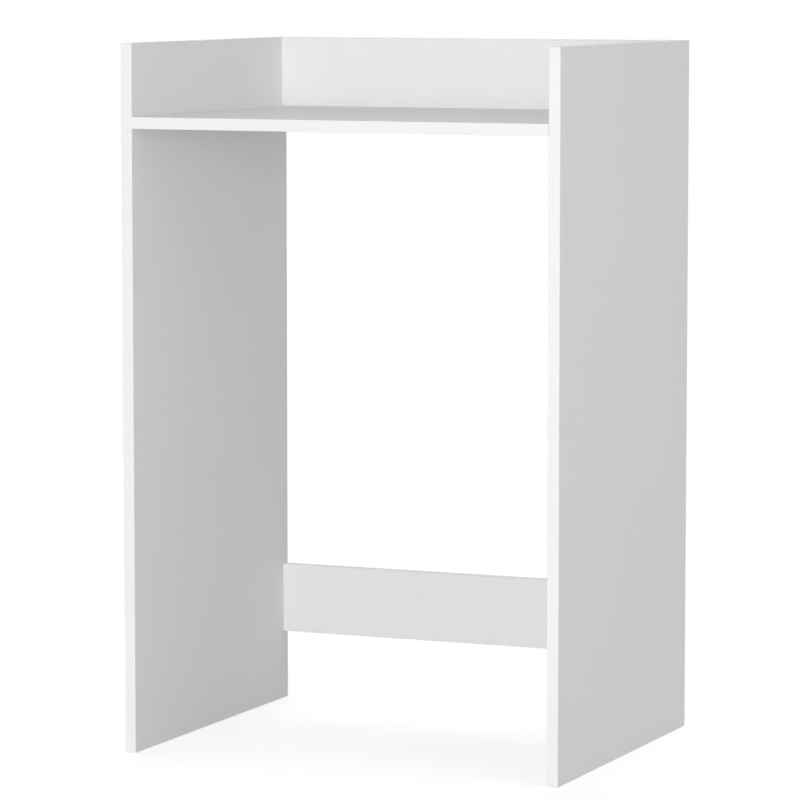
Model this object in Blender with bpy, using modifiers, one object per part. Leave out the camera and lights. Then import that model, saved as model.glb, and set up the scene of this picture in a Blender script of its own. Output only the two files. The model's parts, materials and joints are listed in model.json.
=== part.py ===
"""Washing machine surround: a white bathroom cabinet of melamine faced chipboard, open in front.

Two side panels stand on the floor and carry a shelf over the machine. A rail stands on the shelf's rear edge,
and a second rail ties the panels together low down, behind the machine. Cam fittings and beech dowels hold
the boards to each other, and plastic bands close their cut edges.

Metres, +Z up. The front looks towards -Y, and the origin is on the floor under the cabinet's middle.
Run it with: blender --background --python part.py
"""

import math

import bmesh
import bpy
from mathutils import Matrix, Vector

# Cabinet
WIDTH = 0.640  # over both side panels
DEPTH = 0.500  # front edge to rear edge
BAY_HEIGHT = 0.860  # floor to the underside of the shelf, for a machine 850 mm high
TRAY_HEIGHT = 0.100  # top of the shelf to the top of the side panels
BOARD = 0.016  # every board is this thick

# Lower rail, behind the machine
LOWER_RAIL_HEIGHT = 0.100
LOWER_RAIL_LIFT = 0.100  # floor to its lower edge, which leaves room for the hoses

# Edge bands
BAND = 0.001
GLUE_LINE = 0.0001
BAND_ARRIS = 0.0004  # the radius scraped on a band's outer edges
ARRIS_STEPS = 2

# Butt joints between boards
JOINT_GAP = 0.0002
DRILL_OVERRUN = 0.002  # how far a cutter starts outside the face that it enters

# Where the fittings sit
SHELF_CAM_INSET = 0.050  # front or rear edge of the shelf to the nearest cam
RAIL_CAM_LIFT = 0.034  # lower edge of a rail to its cam
CAM_TO_DOWEL = 0.032  # between a cam bolt and the dowel beside it
RAIL_FOOT_DOWEL_INSET = 0.120  # side panel to the dowel under the upper rail

# Cam: a drum in the board, which grips the bolt's head when it is turned half a turn
CAM_RADIUS = 0.0073
CAM_BORE_WEB = 0.0032  # the board that is left under a cam's bore
CAM_SINK = 0.0003  # board face to the cam's face
CAM_SETBACK = 0.034  # side panel to the cam's axis
CAM_CLEARANCE = 0.0002  # round the drum
CAM_FLOOR_CLEARANCE = 0.0003  # under the drum
CAM_CAVITY_RADIUS = 0.0052
CAM_THROW = 0.0005  # how far the cavity is off centre, which draws the bolt in
CAM_CAVITY_CLEARANCE = 0.0002  # over and under the bolt's head
CAM_SLOT_CLEARANCE = 0.0004  # round the bolt's neck
CAM_MOUTH_CLEARANCE = 0.0003  # round the bolt's head, where it enters
CROSS_LENGTH = 0.0080  # of the recess for a screwdriver
CROSS_WIDTH = 0.0016
CROSS_DEPTH = 0.0030
CAM_SIDES = 32

# Cam bolt: screwed into the side panel, with its head inside the cam
BOLT_HEAD_RADIUS = 0.0032
BOLT_HEAD_CROWN = 0.0012  # the rounded end of the head
BOLT_CROWN_FLAT_SHARE = 0.6  # radius of the crown's flat end, as a share of the head's
BOLT_HEAD_RIM = 0.0022  # the head's straight side
BOLT_SHOULDER = 0.0017  # the cone that the cam pulls on
BOLT_TIP_PAST_CAM = 0.0010  # cam's axis to the end of the head
BOLT_NECK_RADIUS = 0.0017
BOLT_NECK_MARGIN = 0.0008  # cam bore to the start of the shank
BOLT_SHANK_RADIUS = 0.0034
BOLT_COLLAR_RADIUS = 0.0038
BOLT_COLLAR = 0.0012
BOLT_SEAT_GAP = 0.0001  # collar to the side panel
BOLT_HOLE_CLEARANCE = 0.0003  # round the collar, in the edge of the board
THREAD_CREST_RADIUS = 0.0031
THREAD_ROOT_RADIUS = 0.0023
THREAD_PITCH = 0.0018
THREAD_TURNS = 6
THREAD_CLEARANCE = 0.0002
THREAD_HOLE_SPARE = 0.0006  # past the end of the thread

# Dowel: a beech pin that keeps one board in line with the next
DOWEL_RADIUS = 0.0040
DOWEL_IN_FACE = 0.0100  # the length that stands in the face of one board
DOWEL_IN_EDGE = 0.0200  # the length that runs into the edge of the other board
DOWEL_CHAMFER = 0.0010
DOWEL_CLEARANCE = 0.0002
DOWEL_HOLE_SPARE = 0.0008  # past each end

# Facets
HIDDEN_SIDES = 12  # of the bolts, the dowels and their holes
SHARP_ANGLE = math.radians(35)  # edges that turn more than this are shaded sharp

# Places worked out from the sizes above
HEIGHT = BAY_HEIGHT + BOARD + TRAY_HEIGHT
SHELF_TOP = BAY_HEIGHT + BOARD
SHELF_MIDDLE = BAY_HEIGHT + BOARD / 2
SIDE_OUTSIDE = WIDTH / 2
SIDE_INSIDE = SIDE_OUTSIDE - BOARD
BOARD_END = SIDE_INSIDE - JOINT_GAP  # half the length of the shelf and of the rails
FRONT = -DEPTH / 2
REAR = DEPTH / 2
RAIL_FRONT = REAR - BOARD
RAIL_MIDDLE = REAR - BOARD / 2
BAND_INSET = BAND + GLUE_LINE
CAM_BORE_RADIUS = CAM_RADIUS + CAM_CLEARANCE
CAM_BORE_DEPTH = BOARD - CAM_BORE_WEB
CAM_LENGTH = CAM_BORE_DEPTH - CAM_SINK - CAM_FLOOR_CLEARANCE
THREAD_LENGTH = THREAD_PITCH * THREAD_TURNS

SIDES = {"left": -1, "right": 1}
ENDS = {"front": -1, "rear": 1}
X_AXIS = Vector((1, 0, 0))
Y_AXIS = Vector((0, 1, 0))
Z_AXIS = Vector((0, 0, 1))

for old_object in list(bpy.data.objects):
    bpy.data.objects.remove(old_object, do_unlink=True)


def new_collection(name):
    collection = bpy.data.collections.new(name)
    bpy.context.scene.collection.children.link(collection)
    return collection


def new_material(name, colour, roughness, metallic=0.0):
    material = bpy.data.materials.new(name)
    material.use_nodes = True
    shader = material.node_tree.nodes["Principled BSDF"]
    shader.inputs["Base Color"].default_value = (*colour, 1.0)
    shader.inputs["Roughness"].default_value = roughness
    shader.inputs["Metallic"].default_value = metallic
    return material


CABINET = new_collection("washing_machine_surround")
CUTTERS = new_collection("cutters")
MELAMINE = new_material("white_melamine", (0.86, 0.86, 0.86), 0.45)
BAND_PLASTIC = new_material("white_edge_band", (0.88, 0.88, 0.88), 0.38)
ZINC = new_material("zinc_die_casting", (0.62, 0.62, 0.60), 0.42, 1.0)
PLATED_STEEL = new_material("zinc_plated_steel", (0.70, 0.71, 0.72), 0.30, 1.0)
BEECH = new_material("beech", (0.66, 0.47, 0.28), 0.65)

# Every piece hangs from this empty, so the cabinet can be moved as one
ASSEMBLY = bpy.data.objects.new("cabinet", None)
CABINET.objects.link(ASSEMBLY)


# Shapes
def new_object(name, mesh, material=None):
    """A piece of the cabinet, or a cutter where no material is given."""
    obj = bpy.data.objects.new(name, mesh)
    if material is None:
        obj.hide_render = True
        obj.display_type = "WIRE"
        CUTTERS.objects.link(obj)
        return obj
    if not mesh.materials:
        mesh.materials.append(material)
    CABINET.objects.link(obj)
    obj.parent = ASSEMBLY
    return obj


def mesh_from(name, bm):
    mesh = bpy.data.meshes.new(name)
    bm.to_mesh(mesh)
    bm.free()
    return mesh


def block(name, low, high, material=None):
    """A box from one corner to the other, with its origin in its middle."""
    low = Vector(low)
    high = Vector(high)
    bm = bmesh.new()
    bmesh.ops.create_cube(bm, size=1)
    bmesh.ops.scale(bm, vec=high - low, verts=bm.verts)
    obj = new_object(name, mesh_from(name, bm), material)
    obj.location = (low + high) / 2
    return obj


def cylinder_mesh(name, radius, bottom, top, sides):
    """A cylinder along +Z from bottom to top."""
    bm = bmesh.new()
    middle = Matrix.Translation(Z_AXIS * (bottom + top) / 2)
    bmesh.ops.create_cone(
        bm, cap_ends=True, segments=sides, radius1=radius, radius2=radius, depth=top - bottom, matrix=middle
    )
    return mesh_from(name, bm)


def turned_mesh(name, profile):
    """The mesh that a profile of (radius, height) pairs, given from top to bottom, sweeps round +Z."""
    bm = bmesh.new()
    verts = [bm.verts.new((radius, 0, height)) for radius, height in profile]
    for upper, lower in zip(verts, verts[1:]):
        bm.edges.new((upper, lower))
    obj = bpy.data.objects.new(name, mesh_from(name, bm))
    CUTTERS.objects.link(obj)
    turn = obj.modifiers.new("turn", "SCREW")
    turn.steps = turn.render_steps = HIDDEN_SIDES
    turn.use_merge_vertices = True
    turn.merge_threshold = GLUE_LINE / 2
    return baked_mesh(obj)


def baked_mesh(obj):
    """The object's mesh with its modifiers applied. The object itself is removed."""
    bpy.context.view_layer.update()
    graph = bpy.context.evaluated_depsgraph_get()
    mesh = bpy.data.meshes.new_from_object(obj.evaluated_get(graph))
    mesh.name = obj.name
    bpy.data.objects.remove(obj, do_unlink=True)
    mesh.shade_smooth()
    mesh.set_sharp_from_angle(angle=SHARP_ANGLE)
    return mesh


def place(obj, at, z_axis, x_axis):
    """Moves obj to a point and turns its +Z and +X to these two directions, which are square to each other."""
    turn = Matrix((x_axis, z_axis.cross(x_axis), z_axis)).transposed()
    obj.matrix_world = Matrix.Translation(at) @ turn.to_4x4()


def subtract(obj, cutter):
    cut = obj.modifiers.new(cutter.name, "BOOLEAN")
    cut.operation = "DIFFERENCE"
    cut.solver = "EXACT"
    cut.object = cutter


def drill(name, boards, radius, at, z_axis, x_axis, bottom, top, sides=HIDDEN_SIDES):
    """One round hole in the boards, along z_axis from bottom to top, both measured from at."""
    cutter = new_object(name, cylinder_mesh(name, radius, bottom, top, sides))
    place(cutter, at, z_axis, x_axis)
    for board in boards:
        subtract(board, cutter)


# Boards and their edge bands
def edge_band(name, low, high, outward, wraps_ends=False):
    """A strip glued to a board's edge, from one corner to the other. Its outer long edges are rounded, and
    so are its outer short ones where it covers the ends of the neighbouring bands."""
    band = block(name, low, high, BAND_PLASTIC)
    size = Vector(high) - Vector(low)
    longest = max(X_AXIS, Y_AXIS, Z_AXIS, key=size.dot)
    bm = bmesh.new()
    bm.from_mesh(band.data)
    weight = bm.edges.layers.float.new("bevel_weight_edge")
    for edge in bm.edges:
        start, end = (vert.co for vert in edge.verts)
        is_outside = min(start.dot(outward), end.dot(outward)) > 0
        is_long = abs((end - start).dot(longest)) > GLUE_LINE
        edge[weight] = float(is_outside and (is_long or wraps_ends))
    bm.to_mesh(band.data)
    bm.free()
    arris = band.modifiers.new("arris", "BEVEL")
    arris.limit_method = "WEIGHT"
    arris.width = BAND_ARRIS
    arris.segments = ARRIS_STEPS


def side_panel(side_name, side):
    """A side panel and the bands round it. The front and rear bands cover the ends of the other two."""
    x_low, x_high = sorted((side * SIDE_INSIDE, side * SIDE_OUTSIDE))
    front = FRONT + BAND_INSET
    rear = REAR - BAND_INSET
    edge_band(f"panel_front_band_{side_name}", (x_low, FRONT, 0), (x_high, FRONT + BAND, HEIGHT), -Y_AXIS, True)
    edge_band(f"panel_rear_band_{side_name}", (x_low, REAR - BAND, 0), (x_high, REAR, HEIGHT), Y_AXIS, True)
    edge_band(f"panel_top_band_{side_name}", (x_low, front, HEIGHT - BAND), (x_high, rear, HEIGHT), Z_AXIS)
    edge_band(f"panel_foot_band_{side_name}", (x_low, front, 0), (x_high, rear, BAND), -Z_AXIS)
    panel_low = (x_low, front, BAND_INSET)
    panel_high = (x_high, rear, HEIGHT - BAND_INSET)
    return block(f"side_panel_{side_name}", panel_low, panel_high, MELAMINE)


def shelf():
    """The shelf over the machine, with a band along its front and rear edges."""
    front = FRONT + BAND
    rear = REAR - BAND
    edge_band("shelf_front_band", (-BOARD_END, FRONT, BAY_HEIGHT), (BOARD_END, front, SHELF_TOP), -Y_AXIS)
    edge_band("shelf_rear_band", (-BOARD_END, rear, BAY_HEIGHT), (BOARD_END, REAR, SHELF_TOP), Y_AXIS)
    board_low = (-BOARD_END, front + GLUE_LINE, BAY_HEIGHT)
    board_high = (BOARD_END, rear - GLUE_LINE, SHELF_TOP)
    return block("shelf", board_low, board_high, MELAMINE)


def upper_rail():
    """The rail at the rear of the shelf. It stands on the shelf, so only its top edge is banded."""
    top = HEIGHT - BAND
    edge_band("upper_rail_top_band", (-BOARD_END, RAIL_FRONT, top), (BOARD_END, REAR, HEIGHT), Z_AXIS)
    board_low = (-BOARD_END, RAIL_FRONT, SHELF_TOP + JOINT_GAP)
    board_high = (BOARD_END, REAR, top - GLUE_LINE)
    return block("upper_rail", board_low, board_high, MELAMINE)


def lower_rail():
    """The rail behind the machine, with both its long edges banded."""
    foot = LOWER_RAIL_LIFT
    top = LOWER_RAIL_LIFT + LOWER_RAIL_HEIGHT
    edge_band("lower_rail_top_band", (-BOARD_END, RAIL_FRONT, top - BAND), (BOARD_END, REAR, top), Z_AXIS)
    edge_band("lower_rail_foot_band", (-BOARD_END, RAIL_FRONT, foot), (BOARD_END, REAR, foot + BAND), -Z_AXIS)
    board_low = (-BOARD_END, RAIL_FRONT, foot + BAND_INSET)
    board_high = (BOARD_END, REAR, top - BAND_INSET)
    return block("lower_rail", board_low, board_high, MELAMINE)


# Fittings
def cam_mesh():
    """The drum of a cam fitting. +Z points out of the board and +X along the bolt towards the side panel,
    with the origin where the two cross. The cavity holds the bolt's head. The slot in the wall lets the
    bolt's neck past over half a turn, from +X, where the cam is locked, to -X, where the head comes out."""
    face = BOARD / 2 - CAM_SINK
    drum = new_object("cam", cylinder_mesh("cam", CAM_RADIUS, face - CAM_LENGTH, face, CAM_SIDES))

    half_cavity = BOLT_HEAD_RADIUS + CAM_CAVITY_CLEARANCE
    cavity_cylinder = cylinder_mesh("cavity", CAM_CAVITY_RADIUS, -half_cavity, half_cavity, CAM_SIDES)
    cavity = new_object("cavity", cavity_cylinder)
    cavity.location = -X_AXIS * CAM_THROW

    outside = CAM_RADIUS + DRILL_OVERRUN
    half_slot = BOLT_NECK_RADIUS + CAM_SLOT_CLEARANCE
    slot = block("slot", (-outside, -outside, -half_slot), (outside, half_slot, half_slot))

    mouth_radius = BOLT_HEAD_RADIUS + CAM_MOUTH_CLEARANCE
    mouth = new_object("mouth", cylinder_mesh("mouth", mouth_radius, 0, outside, HIDDEN_SIDES))
    place(mouth, Vector(), -X_AXIS, Z_AXIS)

    foot = face - CROSS_DEPTH
    top = face + DRILL_OVERRUN
    length = CROSS_LENGTH / 2
    width = CROSS_WIDTH / 2
    cross_along = block("cross_along", (-length, -width, foot), (length, width, top))
    cross_over = block("cross_over", (-width, -length, foot), (width, length, top))

    cutters = [cavity, slot, mouth, cross_along, cross_over]
    for cutter in cutters:
        subtract(drum, cutter)
    mesh = baked_mesh(drum)
    for cutter in cutters:
        bpy.data.objects.remove(cutter, do_unlink=True)
    return mesh


def bolt_mesh():
    """A cam bolt. +Z points from the side panel to the cam, and the panel's face is at zero."""
    tip = CAM_SETBACK + BOLT_TIP_PAST_CAM
    rim_top = tip - BOLT_HEAD_CROWN
    rim_foot = rim_top - BOLT_HEAD_RIM
    shank_top = CAM_SETBACK - CAM_BORE_RADIUS - BOLT_NECK_MARGIN
    collar_top = BOLT_SEAT_GAP + BOLT_COLLAR
    profile = [
        (0, tip),
        (BOLT_HEAD_RADIUS * BOLT_CROWN_FLAT_SHARE, tip),
        (BOLT_HEAD_RADIUS, rim_top),
        (BOLT_HEAD_RADIUS, rim_foot),
        (BOLT_NECK_RADIUS, rim_foot - BOLT_SHOULDER),
        (BOLT_NECK_RADIUS, shank_top),
        (BOLT_SHANK_RADIUS, shank_top),
        (BOLT_SHANK_RADIUS, collar_top),
        (BOLT_COLLAR_RADIUS, collar_top),
        (BOLT_COLLAR_RADIUS, BOLT_SEAT_GAP),
        (THREAD_ROOT_RADIUS, BOLT_SEAT_GAP),
    ]
    for turn in range(THREAD_TURNS):
        profile.append((THREAD_CREST_RADIUS, -THREAD_PITCH * (turn + 0.5)))
        profile.append((THREAD_ROOT_RADIUS, -THREAD_PITCH * (turn + 1)))
    profile.append((0, -THREAD_LENGTH))
    return turned_mesh("cam_bolt", profile)


def dowel_mesh():
    """A dowel. +Z points into the edge of the board that it holds in line, and the joint is at zero."""
    end_radius = DOWEL_RADIUS - DOWEL_CHAMFER
    profile = [
        (0, DOWEL_IN_EDGE),
        (end_radius, DOWEL_IN_EDGE),
        (DOWEL_RADIUS, DOWEL_IN_EDGE - DOWEL_CHAMFER),
        (DOWEL_RADIUS, DOWEL_CHAMFER - DOWEL_IN_FACE),
        (end_radius, -DOWEL_IN_FACE),
        (0, -DOWEL_IN_FACE),
    ]
    return turned_mesh("dowel", profile)


CAM_MESH = cam_mesh()
BOLT_MESH = bolt_mesh()
DOWEL_MESH = dowel_mesh()


def cam_fitting(board_name, board, place_name, panel, at, outward, inward):
    """A cam in the board, its bolt in the side panel, and their holes. The bolt's axis meets the panel at
    the point given. The cam's face looks outward, and inward leads from the panel to the cam."""
    cam_name = f"{board_name}_cam_{place_name}"
    cam_at = at + inward * CAM_SETBACK
    top = BOARD / 2 + DRILL_OVERRUN
    foot = BOARD / 2 - CAM_BORE_DEPTH
    drill(f"{cam_name}_bore", [board], CAM_BORE_RADIUS, cam_at, outward, -inward, foot, top, CAM_SIDES)
    place(new_object(cam_name, CAM_MESH, ZINC), cam_at, outward, -inward)

    bolt_name = f"{board_name}_cam_bolt_{place_name}"
    board_hole = BOLT_COLLAR_RADIUS + BOLT_HOLE_CLEARANCE
    drill(f"{bolt_name}_hole", [board], board_hole, at, inward, outward, -DRILL_OVERRUN, CAM_SETBACK)
    panel_hole = THREAD_CREST_RADIUS + THREAD_CLEARANCE
    foot = -THREAD_LENGTH - THREAD_HOLE_SPARE
    drill(f"{bolt_name}_thread_hole", [panel], panel_hole, at, inward, outward, foot, DRILL_OVERRUN)
    place(new_object(bolt_name, BOLT_MESH, PLATED_STEEL), at, inward, outward)


def dowel_joint(name, face_board, edge_board, at, into_edge, across):
    """A dowel standing in the face of one board and running into the edge of the other, with its holes."""
    hole_radius = DOWEL_RADIUS + DOWEL_CLEARANCE
    foot = -DOWEL_IN_FACE - DOWEL_HOLE_SPARE
    top = DOWEL_IN_EDGE + DOWEL_HOLE_SPARE
    drill(f"{name}_hole", [face_board, edge_board], hole_radius, at, into_edge, across, foot, top)
    place(new_object(name, DOWEL_MESH, BEECH), at, into_edge, across)


def join_shelf(board, panel, side_name, side):
    """A cam and a dowel near the front of the shelf, and the same near its rear, at one side panel."""
    inward = -side * X_AXIS
    for end_name, end in ENDS.items():
        place_name = f"{end_name}_{side_name}"
        cam_at = Vector((side * SIDE_INSIDE, end * (DEPTH / 2 - SHELF_CAM_INSET), SHELF_MIDDLE))
        dowel_at = cam_at - end * CAM_TO_DOWEL * Y_AXIS
        cam_fitting("shelf", board, place_name, panel, cam_at, -Z_AXIS, inward)
        dowel_joint(f"shelf_dowel_{place_name}", panel, board, dowel_at, inward, Z_AXIS)


def join_rail(rail_name, board, foot, panel, side_name, side):
    """A cam in the rear face of a rail and a dowel over it, at one side panel."""
    inward = -side * X_AXIS
    cam_at = Vector((side * SIDE_INSIDE, RAIL_MIDDLE, foot + RAIL_CAM_LIFT))
    dowel_at = cam_at + CAM_TO_DOWEL * Z_AXIS
    cam_fitting(rail_name, board, side_name, panel, cam_at, Y_AXIS, inward)
    dowel_joint(f"{rail_name}_dowel_{side_name}", panel, board, dowel_at, inward, Z_AXIS)


def stand_rail_on_shelf(rail, board, side_name, side):
    """A dowel that stands in the shelf and keeps the foot of the upper rail in line."""
    at = Vector((side * (SIDE_INSIDE - RAIL_FOOT_DOWEL_INSET), RAIL_MIDDLE, SHELF_TOP))
    dowel_joint(f"upper_rail_foot_dowel_{side_name}", board, rail, at, Z_AXIS, X_AXIS)


# Assembly
SHELF = shelf()
UPPER_RAIL = upper_rail()
LOWER_RAIL = lower_rail()
for panel_name, panel_side in SIDES.items():
    side_board = side_panel(panel_name, panel_side)
    join_shelf(SHELF, side_board, panel_name, panel_side)
    join_rail("upper_rail", UPPER_RAIL, SHELF_TOP, side_board, panel_name, panel_side)
    join_rail("lower_rail", LOWER_RAIL, LOWER_RAIL_LIFT, side_board, panel_name, panel_side)
    stand_rail_on_shelf(UPPER_RAIL, SHELF, panel_name, panel_side)
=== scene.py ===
# %% [markdown]
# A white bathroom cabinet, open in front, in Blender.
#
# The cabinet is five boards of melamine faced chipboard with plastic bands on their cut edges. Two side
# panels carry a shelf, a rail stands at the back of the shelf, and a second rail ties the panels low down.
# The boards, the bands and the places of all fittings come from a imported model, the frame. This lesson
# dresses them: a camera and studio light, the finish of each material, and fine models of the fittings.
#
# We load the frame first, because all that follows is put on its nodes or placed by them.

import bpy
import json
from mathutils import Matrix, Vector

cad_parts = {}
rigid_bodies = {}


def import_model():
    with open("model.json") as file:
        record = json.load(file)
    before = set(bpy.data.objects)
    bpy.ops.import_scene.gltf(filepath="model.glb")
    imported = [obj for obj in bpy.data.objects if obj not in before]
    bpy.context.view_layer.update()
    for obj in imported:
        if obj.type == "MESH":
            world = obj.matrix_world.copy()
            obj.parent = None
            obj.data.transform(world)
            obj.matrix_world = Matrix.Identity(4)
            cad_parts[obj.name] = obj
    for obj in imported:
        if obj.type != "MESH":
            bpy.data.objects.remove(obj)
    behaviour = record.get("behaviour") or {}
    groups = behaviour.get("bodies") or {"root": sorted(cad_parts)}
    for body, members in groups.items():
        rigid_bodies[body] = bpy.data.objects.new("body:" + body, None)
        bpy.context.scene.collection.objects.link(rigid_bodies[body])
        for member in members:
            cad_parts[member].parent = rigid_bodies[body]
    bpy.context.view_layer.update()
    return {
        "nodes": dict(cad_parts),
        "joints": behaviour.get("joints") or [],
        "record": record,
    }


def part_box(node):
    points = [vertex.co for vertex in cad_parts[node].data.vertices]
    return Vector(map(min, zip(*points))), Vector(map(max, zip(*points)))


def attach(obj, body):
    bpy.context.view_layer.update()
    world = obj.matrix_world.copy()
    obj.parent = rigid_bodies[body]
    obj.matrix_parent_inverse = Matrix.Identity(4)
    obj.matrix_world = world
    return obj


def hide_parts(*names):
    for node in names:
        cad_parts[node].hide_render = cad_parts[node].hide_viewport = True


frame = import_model()
print("boards, bands and fittings in the frame:", len(frame["nodes"]))

# %% Modules
import json
import math

import bmesh
import bpy
from mathutils import Matrix, Vector

# %% [markdown]
# The nodes fall into groups by their names. A group gets one finish, so we sort the names once, here. A
# joint of the frame turns each cam, and it says where the cam's axis is and which way it points, so the
# joints are the list of the fittings too.

# %% Groups of nodes
BOARD_NAMES = ["side_panel_left", "side_panel_right", "shelf", "upper_rail", "lower_rail"]
BAND_NAMES = sorted(name for name in frame["nodes"] if "_band" in name)
DOWEL_NAMES = sorted(name for name in frame["nodes"] if "_dowel_" in name)
BODIES = frame["record"]["behaviour"]["bodies"]
CAM_JOINTS = {BODIES[frame_joint["child"]][0]: frame_joint for frame_joint in frame["joints"]}
print(len(BOARD_NAMES), "boards and", len(BAND_NAMES), "bands")
print(len(CAM_JOINTS), "cams and", len(DOWEL_NAMES), "dowels")

# %% [markdown]
# The camera comes first, because all looks are judged through it. The photographer stood about six metres
# away and to the right, a little over the top of the cabinet, with a long lens, so the upright edges are
# almost parallel. A camera can be typed in as a place and three angles, but then a change of one spoils
# the others. We give the point it looks at, a distance and two angles, and work its place out.

# %% Camera values
CAMERA_AIM = Vector((-0.0126, -0.0053, 0.4784))
CAMERA_DISTANCE = 5.933
CAMERA_AZIMUTH = math.radians(23.36)  # round to the right of straight in front
CAMERA_ELEVATION = math.radians(5.94)
CAMERA_LENS = 191.64  # millimetres, on a sensor 36 mm wide

# %% Place the camera
def direction(azimuth, elevation):
    """The way from the cabinet to something that stands round it at these angles."""
    across = math.cos(elevation)
    return Vector((math.sin(azimuth) * across, -math.cos(azimuth) * across, math.sin(elevation)))


to_camera = direction(CAMERA_AZIMUTH, CAMERA_ELEVATION)
bpy.ops.object.camera_add(location=CAMERA_AIM + to_camera * CAMERA_DISTANCE)
camera = bpy.context.object
camera.name = "photographer"
camera.rotation_euler = to_camera.to_track_quat("Z", "Y").to_euler()
camera.data.lens = CAMERA_LENS
camera.data.dof.use_dof = False
bpy.context.scene.camera = camera
bpy.context.scene.view_settings.view_transform = "Standard"
print("camera at", [round(value, 3) for value in camera.location])

# %% [markdown]
# Materials here are built from nodes. Adding one by hand takes three steps: make it, set its options, and
# fill or link its inputs. One helper does all three, so that each finish below reads as a short recipe. A
# plain value goes straight into the socket, and another node's output is linked to it.

# %% Helpers that add and fill nodes
def fill_inputs(tree, node, inputs):
    """Fills inputs of a node. Each takes a value, or the output socket of another node."""
    for name, value in inputs.items():
        if isinstance(value, bpy.types.NodeSocket):
            tree.links.new(value, node.inputs[name])
        else:
            node.inputs[name].default_value = value


def add_node(tree, kind, inputs=None, **options):
    node = tree.nodes.new(kind)
    for option, value in options.items():
        setattr(node, option, value)
    fill_inputs(tree, node, inputs or {})
    return node


def calculate(tree, operation, first, second=0.0):
    """The output of a Math node."""
    return add_node(tree, "ShaderNodeMath", {0: first, 1: second}, operation=operation).outputs[0]


# %% [markdown]
# The photograph has a pure white background, while the cabinet's white is a little darker, so its edges
# can be read. If the world were simply white and bright, it would also flood the boards with light. The
# usual cure is the Light Path node: a ray that looks straight at the background, also by way of a gloss,
# finds white, and a ray that gathers light for a surface finds a softer grey.

# %% Rays that look at the background
def looks_at_background(tree):
    """1 for a ray from the camera, or one that comes by way of a gloss or through something clear."""
    path = add_node(tree, "ShaderNodeLightPath").outputs
    looks = calculate(tree, "MAXIMUM", path["Is Camera Ray"], path["Is Glossy Ray"])
    return calculate(tree, "MAXIMUM", looks, path["Is Transmission Ray"])


# %% Greys and mixed shaders
def grey(level):
    """A colour without a tint, where 1 is white."""
    return (level, level, level, 1)


def mix_shaders(tree, share, first, second):
    """The first shader where share is 0, and the second where it is 1."""
    return add_node(tree, "ShaderNodeMixShader", {0: share, 1: first, 2: second}).outputs[0]


# %% World
WORLD_LIGHT = 0.49  # what the studio walls and ceiling send to the boards, where 1 is white


def studio_world():
    world = bpy.data.worlds.new("studio_world")
    world.use_nodes = True
    tree = world.node_tree
    tree.nodes.clear()
    walls = add_node(tree, "ShaderNodeBackground", {"Color": grey(1), "Strength": WORLD_LIGHT}).outputs[0]
    white = add_node(tree, "ShaderNodeBackground", {"Color": grey(1), "Strength": 1.0}).outputs[0]
    mixed = mix_shaders(tree, looks_at_background(tree), walls, white)
    add_node(tree, "ShaderNodeOutputWorld", {"Surface": mixed})
    return world


bpy.context.scene.world = studio_world()
print("world lights the boards at", WORLD_LIGHT)

# %% [markdown]
# The floor has three jobs. It sends light up to the cabinet, as any pale floor does. It looks white, like
# the background. And it keeps the cabinet's shadow, though a faint one, because the photograph has next
# to none. A plain white floor would show a heavy shadow, and a glowing one none at all. So light that
# gathers finds a pale matt floor, and the camera finds a floor that partly glows and is partly matt. That
# is only so near the cabinet, and a few steps away the floor fades to pure white, or the lamps would draw
# patches on it.
#
# From below the floor is clear, so that the underside of the cabinet can be looked at too. The feet would
# still be black there, since they stand on it, so it is clear for the shortest rays too and lies a hair
# under them.

# %% Helpers that start a material
def start_material(name):
    """A new material, and the tree of its nodes."""
    material = bpy.data.materials.new(name)
    material.use_nodes = True
    return material, material.node_tree


def object_place(tree):
    """Where a point is, along the axes of its object."""
    return add_node(tree, "ShaderNodeTexCoord").outputs["Object"]


def change_range(tree, value, old, new=(0.0, 1.0)):
    """Stretches a value from one range to another, and holds what lies past the ends."""
    ends = {0: value, 1: old[0], 2: old[1], 3: new[0], 4: new[1]}
    return add_node(tree, "ShaderNodeMapRange", ends).outputs[0]


# %% Floor
FLOOR_WIDTH = 60.0
FLOOR_HEIGHT = -0.0001
SHORT_RAY = 0.003
FLOOR_PALE = 0.72  # what the floor sends back to the cabinet
FLOOR_GLOW = 0.49
FLOOR_SHADOW = 0.75  # how much of the floor's white the shadow can take away
SHADOW_FADES = (1.0, 2.6)  # metres from the middle, where the shadow starts to fade and where it is gone


def floor_material():
    material, tree = start_material("studio_floor")
    tree.nodes.clear()
    pale = add_node(tree, "ShaderNodeBsdfDiffuse", {"Color": grey(FLOOR_PALE)}).outputs[0]
    glow = add_node(tree, "ShaderNodeEmission", {"Color": grey(1), "Strength": FLOOR_GLOW}).outputs[0]
    matt = add_node(tree, "ShaderNodeBsdfDiffuse", {"Color": grey(FLOOR_SHADOW)}).outputs[0]
    near = add_node(tree, "ShaderNodeAddShader", {0: glow, 1: matt}).outputs[0]
    far = add_node(tree, "ShaderNodeEmission", {"Color": grey(1), "Strength": 1.0}).outputs[0]

    place = object_place(tree)
    from_middle = add_node(tree, "ShaderNodeVectorMath", {0: place}, operation="LENGTH").outputs["Value"]
    white = mix_shaders(tree, change_range(tree, from_middle, SHADOW_FADES), near, far)
    seen_from_above = mix_shaders(tree, looks_at_background(tree), pale, white)

    clear = add_node(tree, "ShaderNodeBsdfTransparent").outputs[0]
    from_below = add_node(tree, "ShaderNodeNewGeometry").outputs["Backfacing"]
    ray_length = add_node(tree, "ShaderNodeLightPath").outputs["Ray Length"]
    is_short = calculate(tree, "LESS_THAN", ray_length, SHORT_RAY)
    passes = calculate(tree, "MAXIMUM", from_below, is_short)
    surface = mix_shaders(tree, passes, seen_from_above, clear)
    add_node(tree, "ShaderNodeOutputMaterial", {"Surface": surface})
    return material


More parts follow.
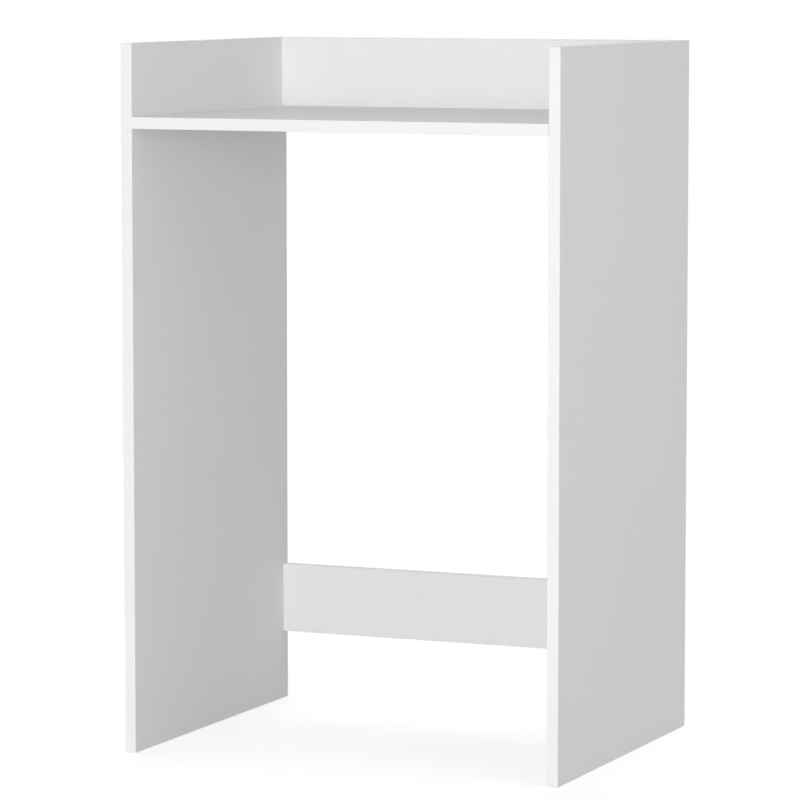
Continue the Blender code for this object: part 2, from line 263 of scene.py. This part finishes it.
bpy.ops.mesh.primitive_plane_add(size=FLOOR_WIDTH, location=(0, 0, FLOOR_HEIGHT))
floor = bpy.context.object
floor.name = "studio_floor"
floor.data.materials.append(floor_material())
print("floor is", FLOOR_WIDTH, "m wide")

# %% [markdown]
# Large softboxes shape the cabinet. The key hangs far off in front, a little to the right and low, so the
# front edges are the brightest faces, and are as bright at the foot as at the top. Nearer to the middle
# its reflection would lie on them, brighter on one side than on the other. The fill stands to the right
# and near by, so that the right panel grows a little darker from front to rear, as in the photograph.
#
# Two more stand to the left and behind, for whoever walks round the cabinet. From the photographer's
# place their reflections would lie as white strips on the top edges and on the shelf, so a gloss doesn't
# show these two. Small lamps would give hard shadows and bright spots, so all are metres wide. They are
# hidden from the camera, because another view may look their way.

# %% Softboxes
def softbox(name, azimuth, elevation, distance, width, height, power, in_gloss=True):
    """A rectangular lamp that faces the cabinet. A gloss doesn't mirror it where in_gloss is False."""
    to_lamp = direction(math.radians(azimuth), math.radians(elevation))
    bpy.ops.object.light_add(type="AREA", location=CAMERA_AIM + to_lamp * distance)
    lamp = bpy.context.object
    lamp.name = name
    lamp.rotation_euler = to_lamp.to_track_quat("Z", "Y").to_euler()
    lamp.data.shape = "RECTANGLE"
    lamp.data.size = width
    lamp.data.size_y = height
    lamp.data.energy = power
    lamp.visible_camera = False
    lamp.visible_glossy = in_gloss
    print(name, "at", [round(value, 2) for value in lamp.location], "with", power, "W")


softbox("key_softbox", azimuth=12, elevation=7, distance=12, width=4.0, height=3.5, power=665)
softbox("fill_softbox", azimuth=70, elevation=17, distance=3.0, width=2.0, height=2.2, power=12.2)
softbox(
    "left_softbox", azimuth=-105, elevation=12, distance=7.0, width=3.5, height=3.0, power=85, in_gloss=False
)
softbox(
    "rear_softbox", azimuth=195, elevation=20, distance=8.0, width=4.0, height=3.0, power=190, in_gloss=False
)

# %% [markdown]
# Now the boards. Melamine is printed paper soaked in resin and pressed on chipboard at a high heat. The
# steel sheet of the press leaves a fine pearl in it, under a millimetre across and a few hundredths deep.
# Wood grain would be far too strong here. A fine noise drives the bump for the pearl. Two wide, slow ones
# vary the white and the roughness a little, so that neither is the same all over a large board. The gloss
# is turned down too: a shader's usual gloss makes a face white when it is seen edge on, and in the
# photograph such faces stay matt.
#
# A board also has an inside. Where a hole is drilled, the chips show. Two materials on one mesh would
# need its faces sorted, and the frame's meshes stay as they are. But the place of a point says enough:
# deeper in the board's thickness than the paper is chipboard, whatever face it is on.

# %% Helpers for finishes
def noise(tree, place, scale, detail=2.0):
    """Clouds from 0 to 1. The scale is about how many there are in one unit of place."""
    inputs = {"Vector": place, "Scale": scale, "Detail": detail}
    return add_node(tree, "ShaderNodeTexNoise", inputs).outputs[0]


def mix_colours(tree, share, first, second):
    """The first colour where share is 0, and the second where it is 1."""
    return add_node(tree, "ShaderNodeMix", {0: share, 6: first, 7: second}, data_type="RGBA").outputs[2]


def bump(tree, height, depth, strength=1.0):
    """A normal that tilts as if a height of 1 stood out by depth, in metres."""
    inputs = {"Height": height, "Strength": strength, "Distance": depth}
    return add_node(tree, "ShaderNodeBump", inputs).outputs[0]


# %% Melamine finish
NOISE_RANGE = (0.3, 0.7)  # most of what a noise gives lies in it
MELAMINE_WHITE = (0.828, 0.828, 0.824, 1)
MELAMINE_SHADE = (0.806, 0.806, 0.803, 1)
MELAMINE_CLOUDS = 5.0  # in a metre
MELAMINE_ROUGHNESS = (0.56, 0.66)
ROUGHNESS_CLOUDS = 14.0  # in a metre
PEARL_SIZE = 0.0009
PEARL_DEPTH = 0.00005


def melamine_surface(tree, place):
    """The colour, roughness and height of pressed melamine, as sockets."""
    slow = noise(tree, place, MELAMINE_CLOUDS, detail=3.0)
    colour = mix_colours(tree, slow, MELAMINE_SHADE, MELAMINE_WHITE)
    uneven = noise(tree, place, ROUGHNESS_CLOUDS, detail=5.0)
    rough = change_range(tree, uneven, NOISE_RANGE, MELAMINE_ROUGHNESS)
    pearl = noise(tree, place, 1 / PEARL_SIZE, detail=1.0)
    return colour, rough, pearl


# %% Chipboard finish
CHIP_SIZE = 0.0024
CHIP_FLATNESS = 2.5  # how much longer a chip is along the board than through it
CHIP_DARK = (0.30, 0.19, 0.10, 1)
CHIP_PALE = (0.66, 0.50, 0.31, 1)


def chipboard_surface(tree, place, thickness_axis):
    """The colour and height of the chips that a drilled hole shows, as sockets."""
    flatten = [1.0, 1.0, 1.0]
    flatten[thickness_axis] = CHIP_FLATNESS
    lying = add_node(tree, "ShaderNodeMapping", {"Vector": place, "Scale": flatten}).outputs[0]
    chips = add_node(tree, "ShaderNodeTexVoronoi", {"Vector": lying, "Scale": 1 / CHIP_SIZE})
    tones = add_node(tree, "ShaderNodeValToRGB", {0: chips.outputs["Color"]})
    tones.color_ramp.elements[0].color = CHIP_DARK
    tones.color_ramp.elements[1].color = CHIP_PALE
    return tones.outputs[0], chips.outputs["Distance"]


# %% [markdown]
# The two surfaces meet in one Principled shader, since a mix of their colours, roughness and bumps bakes
# well, while a mix of two shaders may not. The middle of the board and half its thickness come from its
# node's box, and so each board has a material of its own, made by one function.

# %% Board material
PAPER = 0.00015  # the thickness of the melamine on each face
MELAMINE_GLOSS = 0.15  # the usual is 0.5
CHIP_ROUGHNESS = 0.9
CHIP_DEPTH = CHIP_SIZE / 8  # how far a chip stands out of the wall of a hole
CHIP_STRENGTH = 0.8


def in_mm(length):
    return round(1000 * length, 2)


def board_material(name):
    """White melamine on both faces of a board of the frame, and raw chipboard between them."""
    low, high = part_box(name)
    size = high - low
    axis = min(range(3), key=lambda index: size[index])
    material, tree = start_material(f"melamine_{name}")
    place = object_place(tree)
    white, rough, pearl = melamine_surface(tree, place)
    brown, chips = chipboard_surface(tree, place, axis)

    across = add_node(tree, "ShaderNodeSeparateXYZ", {0: place}).outputs[axis]
    off_middle = calculate(tree, "SUBTRACT", across, (low[axis] + high[axis]) / 2)
    from_middle = calculate(tree, "ABSOLUTE", off_middle)
    inside = calculate(tree, "LESS_THAN", from_middle, size[axis] / 2 - PAPER)

    roughness = {0: inside, 2: rough, 3: CHIP_ROUGHNESS}
    normals = {
        0: inside,
        4: bump(tree, pearl, PEARL_DEPTH),
        5: bump(tree, chips, CHIP_DEPTH, CHIP_STRENGTH),
    }
    surface = {
        "Base Color": mix_colours(tree, inside, white, brown),
        "Roughness": add_node(tree, "ShaderNodeMix", roughness).outputs[0],
        "Normal": add_node(tree, "ShaderNodeMix", normals, data_type="VECTOR").outputs[1],
        "Specular IOR Level": MELAMINE_GLOSS,
    }
    fill_inputs(tree, tree.nodes["Principled BSDF"], surface)
    print(name, "is", in_mm(size[axis]), "mm thick along", "XYZ"[axis])
    return material


# %% Finish the boards
def give_finish(name, material):
    """Puts a material on a node of the frame."""
    node = frame["nodes"][name]
    node.data.materials.clear()
    node.data.materials.append(material)


for board_name in BOARD_NAMES:
    give_finish(board_name, board_material(board_name))

# %% [markdown]
# An edge band is a strip of white plastic a millimetre thick, glued to the cut edge and scraped flush. It
# is pressed out of a slot, which leaves fine lines along it, and it shines a little more than the board.
# The lines come from noise stretched along the strip. Its direction is the longest side of its box, so
# one material for each direction is enough.

# %% Edge band material
BAND_WHITE = (0.893, 0.893, 0.891, 1)
BAND_SHADE = (0.879, 0.879, 0.877, 1)
BAND_CLOUDS = 6.0  # in a metre
BAND_ROUGHNESS = (0.50, 0.60)
BAND_GLOSS = 0.20
BAND_LINE = 0.0006  # between the fine lines
BAND_LINE_LENGTH = 0.12
BAND_LINE_DEPTH = 0.00003


def stretched_place(tree, place, axis, width, length):
    """A place in which one cloud of noise is this wide, and this long along an axis."""
    stretch = [1 / width] * 3
    stretch[axis] = 1 / length
    return add_node(tree, "ShaderNodeMapping", {"Vector": place, "Scale": stretch}).outputs[0]


def band_material(axis):
    """White plastic with fine lines along one axis of the cabinet."""
    material, tree = start_material(f"edge_band_along_{'xyz'[axis]}")
    place = object_place(tree)
    drawn = stretched_place(tree, place, axis, BAND_LINE, BAND_LINE_LENGTH)
    lines = noise(tree, drawn, 1.0)
    surface = {
        "Base Color": mix_colours(tree, noise(tree, place, BAND_CLOUDS), BAND_SHADE, BAND_WHITE),
        "Roughness": change_range(tree, lines, NOISE_RANGE, BAND_ROUGHNESS),
        "Normal": bump(tree, lines, BAND_LINE_DEPTH),
        "Specular IOR Level": BAND_GLOSS,
    }
    fill_inputs(tree, tree.nodes["Principled BSDF"], surface)
    return material


# %% Finish the bands
def longest_axis(low, high):
    """Along which axis a box is longest, as 0, 1 or 2."""
    return max(range(3), key=lambda index: high[index] - low[index])


BAND_MATERIALS = [band_material(axis) for axis in range(3)]
for band_name in BAND_NAMES:
    band_low, band_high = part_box(band_name)
    give_finish(band_name, BAND_MATERIALS[longest_axis(band_low, band_high)])
print("bands finished:", len(BAND_NAMES))

# %% [markdown]
# The fittings are metal and wood. A cam is cast in zinc, which leaves a dull, finely grained skin. A cam
# bolt is turned from steel and plated with zinc, so it is brighter, smoother and a little blue. Both are
# metals to the shader, and they differ in colour, in how rough they are and in how fine and deep the
# grain is. One function with a few values serves both, and a third metal would only need another call.

# %% Metal material
GRAINS_PER_CLOUD = 8
GRAIN_STRENGTH = 0.5


def metal_material(name, bright, dull, roughness, grain_size, grain_depth):
    """A bare metal whose colour clouds from bright to dull. Roughness is given from smooth to rough."""
    material, tree = start_material(name)
    place = object_place(tree)
    clouds = noise(tree, place, 1 / (GRAINS_PER_CLOUD * grain_size), detail=4.0)
    grain = noise(tree, place, 1 / grain_size, detail=3.0)
    smooth, rough = roughness
    surface = {
        "Base Color": mix_colours(tree, clouds, dull, bright),
        "Metallic": 1.0,
        "Roughness": change_range(tree, clouds, NOISE_RANGE, (rough, smooth)),
        "Normal": bump(tree, grain, grain_depth, GRAIN_STRENGTH),
    }
    fill_inputs(tree, tree.nodes["Principled BSDF"], surface)
    return material


ZINC = metal_material(
    "cast_zinc",
    bright=(0.66, 0.66, 0.645, 1),
    dull=(0.50, 0.50, 0.49, 1),
    roughness=(0.36, 0.52),
    grain_size=0.0004,
    grain_depth=0.00003,
)
STEEL = metal_material(
    "plated_steel",
    bright=(0.74, 0.75, 0.77, 1),
    dull=(0.60, 0.61, 0.64, 1),
    roughness=(0.20, 0.36),
    grain_size=0.0002,
    grain_depth=0.000004,
)
print("metals:", ZINC.name, "and", STEEL.name)

# %% [markdown]
# Beech is pale and even, with short fibres and small darker flecks. Noise that is stretched along the
# grain gives the fibres. On the end of a dowel the same noise shows its narrow sides, as fine dots, and
# that is what end grain looks like, so the ends need nothing of their own. A dowel's grain runs along it,
# so there is one material for each direction in which the dowels lie.

# %% Beech material
BEECH_PALE = (0.74, 0.55, 0.35, 1)
BEECH_DARK = (0.52, 0.34, 0.19, 1)
BEECH_ROUGHNESS = 0.68
FIBRE_WIDTH = 0.0005
FIBRE_LENGTH = 0.010
FIBRE_DEPTH = 0.00004
FIBRE_STRENGTH = 0.5
FLECKS_PER_FIBRE = 0.4  # flecks are fewer and wider than the fibres
FLECK_RANGE = (0.35, 0.60)  # noise under it is a fleck, and over it is clear wood
TONE_RANGE = (0.10, 0.55)  # from the darkest wood to the palest


def beech_material(axis):
    """Beech with its grain along one axis of the cabinet."""
    material, tree = start_material(f"beech_along_{'xyz'[axis]}")
    grown = stretched_place(tree, object_place(tree), axis, FIBRE_WIDTH, FIBRE_LENGTH)
    fibres = noise(tree, grown, 1.0, detail=4.0)
    flecks = change_range(tree, noise(tree, grown, FLECKS_PER_FIBRE), FLECK_RANGE)
    tone = change_range(tree, calculate(tree, "MULTIPLY", fibres, flecks), TONE_RANGE)
    surface = {
        "Base Color": mix_colours(tree, tone, BEECH_DARK, BEECH_PALE),
        "Roughness": BEECH_ROUGHNESS,
        "Normal": bump(tree, fibres, FIBRE_DEPTH, FIBRE_STRENGTH),
    }
    fill_inputs(tree, tree.nodes["Principled BSDF"], surface)
    return material


# %% [markdown]
# From here on we model, with the operators that the menus call. Two habits keep that safe in a script. An
# operator acts on everything that is selected, so we always say what that is. And in edit mode the faces
# are picked by where they are and which way they look, because their numbers change with every step.

# %% Helpers for modelling
FLAT_END = 0.99  # the part of a face's normal that lies along Z, from which the face is an end


def pick(obj):
    """Selects this object alone, and makes it the active one."""
    bpy.ops.object.select_all(action="DESELECT")
    obj.select_set(True)
    bpy.context.view_layer.objects.active = obj


def start_editing(obj, mode="FACE"):
    pick(obj)
    bpy.ops.object.mode_set(mode="EDIT")
    bpy.ops.mesh.select_mode(type=mode)
    bpy.ops.mesh.select_all(action="DESELECT")


def stop_editing():
    bpy.ops.object.mode_set(mode="OBJECT")


def select_end(obj, way):
    """In edit mode, selects the flat end that looks along +Z where way is 1, and along -Z where it is -1."""
    bpy.ops.mesh.select_all(action="DESELECT")
    shape = bmesh.from_edit_mesh(obj.data)
    for face in shape.faces:
        face.select_set(face.normal.z * way > FLAT_END)
    bmesh.update_edit_mesh(obj.data)


# %% Apply a modifier
def apply_modifier(obj, kind, **options):
    pick(obj)
    modifier = obj.modifiers.new("shape", kind)
    for option, value in options.items():
        setattr(modifier, option, value)
    bpy.ops.object.modifier_apply(modifier=modifier.name)


def combine(obj, other, operation="DIFFERENCE"):
    """Cuts the other object out of this one, or joins it to it, and removes the other."""
    apply_modifier(obj, "BOOLEAN", operation=operation, solver="EXACT", object=other)
    bpy.data.objects.remove(other, do_unlink=True)


# %% A round rod that grows in steps
def rod(name, radius, bottom, top, sides):
    """A cylinder along +Z, with its place in its mesh."""
    middle = (0, 0, (bottom + top) / 2)
    bpy.ops.mesh.primitive_cylinder_add(vertices=sides, radius=radius, depth=top - bottom, location=middle)
    obj = bpy.context.object
    obj.name = name
    bpy.ops.object.transform_apply()
    return obj


def narrow(share):
    """In edit mode, scales what is selected towards the Z axis."""
    bpy.ops.transform.resize(value=(share, share, 1), center_override=(0, 0, 0))


def grow(radius, steps):
    """In edit mode, extrudes the selected end. Each step is a length along Z and the radius at its end."""
    for length, end_radius in steps:
        bpy.ops.mesh.extrude_region_move(TRANSFORM_OT_translate={"value": (0, 0, length)})
        narrow(end_radius / radius)
        radius = end_radius


# %% [markdown]
# Castings and turned parts have no knife edges, and a small bevel catches the light along them. A boolean
# leaves points that lie almost on each other, and a bevel would stumble over them, so these are merged
# first. A boolean also numbers its points anew on each run, and a merge goes by the numbers. So they are
# sorted before that, by how far they lie from the cursor, which stands off to one side, and each run
# gives the same mesh. Large flat faces beside a small bevel shade badly with plain smooth shading.
# Weighted normals, which let the large faces decide, cure that.

# %% Round and shade a hard surface
MERGE_WITHIN = 0.00012
HAIR = 0.000001  # points as near as this are one point
FLAT_ANGLE = math.radians(1)  # faces that meet at less are one face
SMOOTH_ANGLE = math.radians(40)
ROUNDING = 0.0001  # the width of a bevel
SORTING_PLACE = (0.013, 0.029, 0.017)  # on no axis or plane of the models, so that few points tie
bpy.context.scene.cursor.location = SORTING_PLACE


def merge_points(obj, distance):
    start_editing(obj, "VERT")
    bpy.ops.mesh.select_all(action="SELECT")
    bpy.ops.mesh.sort_elements(type="CURSOR_DISTANCE", elements={"VERT", "EDGE", "FACE"})
    bpy.ops.mesh.remove_doubles(threshold=distance)
    stop_editing()


def round_edges(obj):
    """Merges what booleans left, and rounds the sharp edges."""
    merge_points(obj, MERGE_WITHIN)
    start_editing(obj, "VERT")
    bpy.ops.mesh.select_all(action="SELECT")
    bpy.ops.mesh.dissolve_limited(angle_limit=FLAT_ANGLE)
    stop_editing()
    edges = {"limit_method": "ANGLE", "angle_limit": SMOOTH_ANGLE}
    apply_modifier(obj, "BEVEL", width=ROUNDING, segments=2, use_clamp_overlap=False, **edges)


def shade_metal(obj):
    pick(obj)
    bpy.ops.object.shade_smooth_by_angle(angle=SMOOTH_ANGLE)
    apply_modifier(obj, "WEIGHTED_NORMAL", keep_sharp=True)


def measure(obj):
    """Prints the size of a model, its triangles, and how many of its edges don't join two faces."""
    shape = bmesh.new()
    shape.from_mesh(obj.data)
    triangles = sum(len(face.verts) - 2 for face in shape.faces)
    faults = sum(not edge.is_manifold for edge in shape.edges)
    shape.free()
    sides = [in_mm(side) for side in obj.dimensions]
    print(obj.name, sides, "mm,", triangles, "triangles,", faults, "open edges")


# %% [markdown]
# The cam is a drum that fills its bore in the board. The bolt's head goes in by the mouth, half a turn
# later the cavity holds it, and the slot in the wall lets the bolt's neck past on the way. We model it
# upright at the origin: +Z out of the board, and +X towards the side panel. Its radius and length are
# read from the frame's own cam, and the point where the bolt's axis crosses it is the origin.

# %% Cam values
cam_low, cam_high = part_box("shelf_cam_front_right")
shelf_low, shelf_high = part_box("shelf")
SHELF_MIDDLE = (shelf_low.z + shelf_high.z) / 2
CAM_RADIUS = (cam_high.x - cam_low.x) / 2
CAM_FACE = SHELF_MIDDLE - cam_low.z
CAM_FOOT = SHELF_MIDDLE - cam_high.z
CAM_SIDES = 96
print("cam:", in_mm(2 * CAM_RADIUS), "mm wide, face", in_mm(CAM_FACE), "mm over the bolt's axis")

# %% Drum with its rim
RIM_WIDTH = 0.0008
RIM_STEP = 0.0003
cam = rod("cam", CAM_RADIUS, CAM_FOOT, CAM_FACE, CAM_SIDES)
start_editing(cam)
select_end(cam, 1)
bpy.ops.mesh.inset(thickness=RIM_WIDTH)
bpy.ops.mesh.extrude_region_move(TRANSFORM_OT_translate={"value": (0, 0, -RIM_STEP)})
stop_editing()
measure(cam)

# %% Cavity
CAVITY_RADIUS = 0.0052
CAVITY_THROW = 0.0005  # off centre, which draws the bolt in
CAVITY_HALF = 0.0034
cavity = rod("cavity", CAVITY_RADIUS, -CAVITY_HALF, CAVITY_HALF, CAM_SIDES)
cavity.location.x = -CAVITY_THROW
combine(cam, cavity)
measure(cam)

# %% Slot and mouth
SLOT_HALF = 0.0021
MOUTH_RADIUS = 0.0035
OVERRUN = 0.002  # how far both reach out of the drum
QUARTER_TURN = math.radians(90)
slot_reach = CAM_RADIUS + OVERRUN
slot_middle = (0, (SLOT_HALF - slot_reach) / 2, 0)
slot_size = (2 * slot_reach, SLOT_HALF + slot_reach, 2 * SLOT_HALF)
bpy.ops.mesh.primitive_cube_add(size=1, location=slot_middle)
bpy.ops.transform.resize(value=slot_size, center_override=slot_middle)
combine(cam, bpy.context.object)

mouth = rod("mouth", MOUTH_RADIUS, 0, slot_reach, CAM_SIDES // 2)
mouth.rotation_euler.y = -QUARTER_TURN
combine(cam, mouth)
measure(cam)

# %% [markdown]
# The cross takes a screwdriver. In a casting its walls slope, so that the die comes out, and so each of
# its two bars is a box whose foot is made smaller. The arrow beside it points to the mouth. It is sunk
# into the face, as a three sided prism.

# %% A cross for a screwdriver
CROSS_FOOT_SHARE = 0.72


def cross_bar(length, width, depth, top, turn):
    """A box that narrows downwards, and starts a little over the face that it is cut into."""
    bpy.ops.mesh.primitive_cube_add(size=1, location=(0, 0, top - depth / 2), rotation=(0, 0, turn))
    bar = bpy.context.object
    bar.scale = (length, width, depth)
    bpy.ops.object.transform_apply()
    start_editing(bar)
    select_end(bar, -1)
    narrow(CROSS_FOOT_SHARE)
    stop_editing()
    return bar


def cut_cross(obj, length, width, depth, top):
    for turn in (0, QUARTER_TURN):
        combine(obj, cross_bar(length, width, depth, top, turn))


# %% Cross and arrow in the cam
CROSS_LENGTH = 0.0082
CROSS_WIDTH = 0.0019
CROSS_DEPTH = 0.0030
ARROW_RADIUS = 0.00085
ARROW_SIDES = 3
ARROW_PLACE = -0.0050
ARROW_DEPTH = 0.00025
cut_cross(cam, CROSS_LENGTH, CROSS_WIDTH, CROSS_DEPTH + RIM_STEP, CAM_FACE)
sunk_face = CAM_FACE - RIM_STEP
arrow = rod("arrow", ARROW_RADIUS, sunk_face - ARROW_DEPTH, CAM_FACE, ARROW_SIDES)
arrow.rotation_euler.z = QUARTER_TURN
arrow.location.x = ARROW_PLACE
combine(cam, arrow)
measure(cam)

# %% Finish the cam
round_edges(cam)
shade_metal(cam)
cam.data.materials.append(ZINC)
measure(cam)

# %% [markdown]
# The cam bolt is a turned part, and one rod that grows in steps gives all of it but the thread and the
# cross: collar, shank, neck, the cone that the cam pulls on, and the head. Each step is one extrude and
# one scale, so the list of steps reads like the drawing of the part. A Screw modifier on a profile would
# do as well, but the steps are easier to follow.

# %% Bolt values
panel_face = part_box("side_panel_right")[0].x
CAM_SETBACK = panel_face - CAM_JOINTS["shelf_cam_front_right"]["pos_m"][0]
BOLT_SIDES = 48
HEAD_RADIUS = 0.0032
HEAD_RIM = 0.0022
HEAD_CROWN = 0.0012
HEAD_FLAT_RADIUS = 0.0019
HEAD_PAST_AXIS = 0.0010
SHOULDER = 0.0017
NECK_RADIUS = 0.0017
NECK = 0.0042
SHANK_RADIUS = 0.0034
COLLAR_RADIUS = 0.0038
COLLAR = 0.0012
SEAT_GAP = 0.0001  # between the side panel and the collar
CORE_RADIUS = 0.0023
TIP = 0.0008
TIP_RADIUS = 0.0015
THREAD_LENGTH = 0.0108
print("bolt reaches", in_mm(CAM_SETBACK + HEAD_PAST_AXIS), "mm out of the side panel")

# %% Bolt without its thread
head = HEAD_RIM + HEAD_CROWN
shank = CAM_SETBACK + HEAD_PAST_AXIS - head - SHOULDER - NECK - COLLAR - SEAT_GAP
bolt = rod("cam_bolt", CORE_RADIUS, TIP - THREAD_LENGTH, SEAT_GAP, BOLT_SIDES)
start_editing(bolt)
select_end(bolt, -1)
grow(CORE_RADIUS, [(-TIP, TIP_RADIUS)])
select_end(bolt, 1)
collar_steps = [(0, COLLAR_RADIUS), (COLLAR, COLLAR_RADIUS)]
shank_steps = [(0, SHANK_RADIUS), (shank, SHANK_RADIUS)]
neck_steps = [(0, NECK_RADIUS), (NECK, NECK_RADIUS)]
head_steps = [(SHOULDER, HEAD_RADIUS), (HEAD_RIM, HEAD_RADIUS), (HEAD_CROWN, HEAD_FLAT_RADIUS)]
grow(CORE_RADIUS, collar_steps + shank_steps + neck_steps + head_steps)
stop_editing()
measure(bolt)

# %% [markdown]
# The thread is one ridge that winds round the core. A small diamond, standing on edge beside the axis,
# becomes that ridge by a Screw modifier. Its two ends are open, so they are filled. Its flanks are
# twisted, and a boolean wants flat faces, so they are split into triangles.
#
# A ridge that stops dead looks wrong, because a real thread runs out into the core. So the ridge is cut
# by a spindle with a cone at each end, which makes it lower and lower there, before it joins the bolt.

# %% Thread ridge
THREAD_PITCH = 0.0018
RIDGE_TURNS = 5
RIDGE_RADIUS = 0.0022  # to the middle of the diamond, just under the core's surface
RIDGE_REACH = 0.0010
RIDGE_HALF = 0.0006
RIDGE_START = -0.0007
HALF_SIDE = math.pi / BOLT_SIDES  # a turn by it keeps the ridge's edges off the edges of the core


def screw_ridge():
    bpy.ops.mesh.primitive_circle_add(vertices=4, radius=1, location=(RIDGE_RADIUS, 0, RIDGE_START))
    ridge = bpy.context.object
    ridge.name = "thread"
    ridge.rotation_euler.x = QUARTER_TURN
    ridge.scale = (RIDGE_REACH, RIDGE_HALF, 1)
    bpy.ops.object.transform_apply()
    turns = {"steps": BOLT_SIDES, "render_steps": BOLT_SIDES, "iterations": RIDGE_TURNS}
    apply_modifier(ridge, "SCREW", screw_offset=-THREAD_PITCH, use_merge_vertices=False, **turns)
    start_editing(ridge, "EDGE")
    bpy.ops.mesh.select_non_manifold()
    bpy.ops.mesh.fill_holes(sides=4)
    bpy.ops.mesh.select_all(action="SELECT")
    bpy.ops.mesh.normals_make_consistent(inside=False)
    bpy.ops.mesh.quads_convert_to_tris()
    stop_editing()
    ridge.rotation_euler.z = HALF_SIDE
    return ridge


ridge = screw_ridge()
measure(ridge)

# %% Spindle that lets the thread run out
CREST_RADIUS = 0.0031
RUN_OUT = 0.0012
UNDER_CORE = 0.0001  # how far under the core's surface its cones end
spindle = rod("spindle", CREST_RADIUS, RUN_OUT - THREAD_LENGTH + TIP, -RUN_OUT, BOLT_SIDES)
start_editing(spindle)
for way in (1, -1):
    select_end(spindle, way)
    grow(CREST_RADIUS, [(way * RUN_OUT, CORE_RADIUS - UNDER_CORE)])
stop_editing()
combine(ridge, spindle, "INTERSECT")
measure(ridge)

# %% Finish the bolt
HEAD_CROSS_LENGTH = 0.0029
HEAD_CROSS_WIDTH = 0.0007
HEAD_CROSS_DEPTH = 0.0014
head_end = CAM_SETBACK + HEAD_PAST_AXIS
cut_cross(bolt, HEAD_CROSS_LENGTH, HEAD_CROSS_WIDTH, HEAD_CROSS_DEPTH + RIM_STEP, head_end + RIM_STEP)
round_edges(bolt)
combine(bolt, ridge, "UNION")
merge_points(bolt, HAIR)
shade_metal(bolt)
bolt.data.materials.append(STEEL)
measure(bolt)

# %% [markdown]
# A dowel for glue is fluted: twenty grooves let the air and the spare glue out of the hole. Sixty sides
# and a pull on every third edge give them. That comes before the chamfers, so that the grooves run on
# into these, as they do on dowels that are cut from a long fluted stick and chamfered afterwards.

# %% Dowel values
dowel_low, dowel_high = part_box("shelf_dowel_front_right")
DOWEL_LENGTH = dowel_high.x - dowel_low.x
DOWEL_RADIUS = (dowel_high.y - dowel_low.y) / 2
DOWEL_CHAMFER = 0.0010
DOWEL_SMOOTH_ANGLE = math.radians(30)  # flutes and chamfers are steeper, and stay sharp
FLUTES = 20
SIDES_PER_FLUTE = 3
FLUTE_DEPTH = 0.00035
print("dowel:", in_mm(DOWEL_LENGTH), "mm long and", in_mm(2 * DOWEL_RADIUS), "mm wide")

# %% Dowel
def select_flutes(obj):
    """In edit mode, selects the points that lie on the lines of the flutes."""
    shape = bmesh.from_edit_mesh(obj.data)
    for point in shape.verts:
        place = math.atan2(point.co.y, point.co.x) / math.tau * FLUTES
        point.select_set(abs(place - round(place)) < 1 / (2 * SIDES_PER_FLUTE))
    bmesh.update_edit_mesh(obj.data)


half_straight = DOWEL_LENGTH / 2 - DOWEL_CHAMFER
dowel = rod("dowel", DOWEL_RADIUS, -half_straight, half_straight, FLUTES * SIDES_PER_FLUTE)
start_editing(dowel, "VERT")
select_flutes(dowel)
narrow(1 - FLUTE_DEPTH / DOWEL_RADIUS)
bpy.ops.mesh.select_mode(type="FACE")
for way in (1, -1):
    select_end(dowel, way)
    grow(DOWEL_RADIUS, [(way * DOWEL_CHAMFER, DOWEL_RADIUS - DOWEL_CHAMFER)])
stop_editing()
bpy.ops.object.shade_smooth_by_angle(angle=DOWEL_SMOOTH_ANGLE)
measure(dowel)

# %% [markdown]
# Every model stands at the origin, and the frame says where its copies go. A joint gives the point where
# the axes of a cam and its bolt cross, and the way that the cam faces. With the side of the cabinet, that
# fixes both. Each copy gets a mesh of its own, its place goes into that mesh, and it takes over from the
# plain solid of the frame. A cam rides on its own body, so it turns with it, and all else rides on the
# boards.

# %% Place a copy
def place_copy(model, name, origin, up, across):
    """Copies a model, with its +Z along up and its +X along across."""
    piece = model.copy()
    piece.data = model.data.copy()
    piece.name = name
    piece.data.name = name
    bpy.context.collection.objects.link(piece)
    turned = Matrix((across, up.cross(across), up)).transposed().to_4x4()
    piece.matrix_world = Matrix.Translation(origin) @ turned
    pick(piece)
    bpy.ops.object.transform_apply()
    return piece


def take_over(piece, body, node):
    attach(piece, body)
    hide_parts(node)


# %% Cams and cam bolts
for cam_node, cam_joint in CAM_JOINTS.items():
    axes_cross = Vector(cam_joint["pos_m"])
    facing = Vector(cam_joint["axis"])
    to_panel = Vector((math.copysign(1, axes_cross.x), 0, 0))
    new_cam = place_copy(cam, f"zinc_{cam_node}", axes_cross, facing, to_panel)
    take_over(new_cam, cam_joint["child"], cam_node)
    bolt_node = cam_node.replace("_cam_", "_cam_bolt_")
    at_panel = axes_cross + to_panel * CAM_SETBACK
    new_bolt = place_copy(bolt, f"steel_{bolt_node}", at_panel, -to_panel, facing)
    take_over(new_bolt, cam_joint["parent"], bolt_node)
print("fittings placed:", len(CAM_JOINTS))

# %% Dowels
BEECH_MATERIALS = {axis: beech_material(axis) for axis in (0, 2)}
AXES = (Vector((1, 0, 0)), Vector((0, 1, 0)), Vector((0, 0, 1)))
for dowel_node in DOWEL_NAMES:
    low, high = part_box(dowel_node)
    axis = longest_axis(low, high)
    along = AXES[axis]
    beside = AXES[(axis + 1) % 3]
    new_dowel = place_copy(dowel, f"fluted_{dowel_node}", (low + high) / 2, along, beside)
    new_dowel.data.materials.append(BEECH_MATERIALS[axis])
    take_over(new_dowel, "boards", dowel_node)
for model in (cam, bolt, dowel):
    bpy.data.objects.remove(model, do_unlink=True)
print("dowels placed:", len(DOWEL_NAMES))
